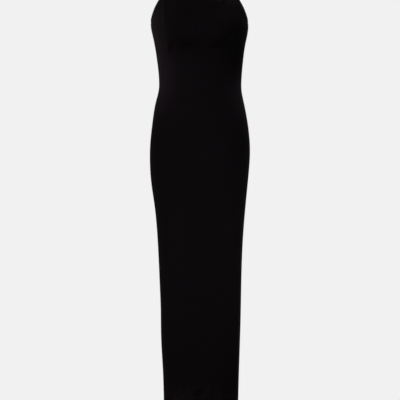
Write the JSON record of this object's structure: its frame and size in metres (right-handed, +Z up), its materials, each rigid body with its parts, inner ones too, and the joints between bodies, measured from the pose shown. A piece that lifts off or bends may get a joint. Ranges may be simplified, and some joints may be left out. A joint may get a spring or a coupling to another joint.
{
  "type": "sleeveless column maxi dress",
  "caption": "Black sleeveless jersey maxi dress with a high neckband, cut-away armholes and a straight column skirt, in the hollow form it keeps when worn.",
  "frame": {"origin": "centre of the neckband, on the axis of the wearer's neck, midway up the band", "axes": "+Z up, the front faces -Y, +X towards the wearer's left"},
  "size_m": [0.3139, 0.2451, 1.422],
  "materials": {
    "jersey": "smooth black stretch jersey, matt with a soft sheen where it turns from the light",
    "jersey_trim": "the same black jersey folded double, with coverstitch in black thread"
  },
  "bodies": {
    "root": {"front_panel": "jersey", "back_panel": "jersey", "neckband": "jersey_trim", "armhole_binding_left": "jersey_trim", "armhole_binding_right": "jersey_trim"}
  },
  "joints": []
}
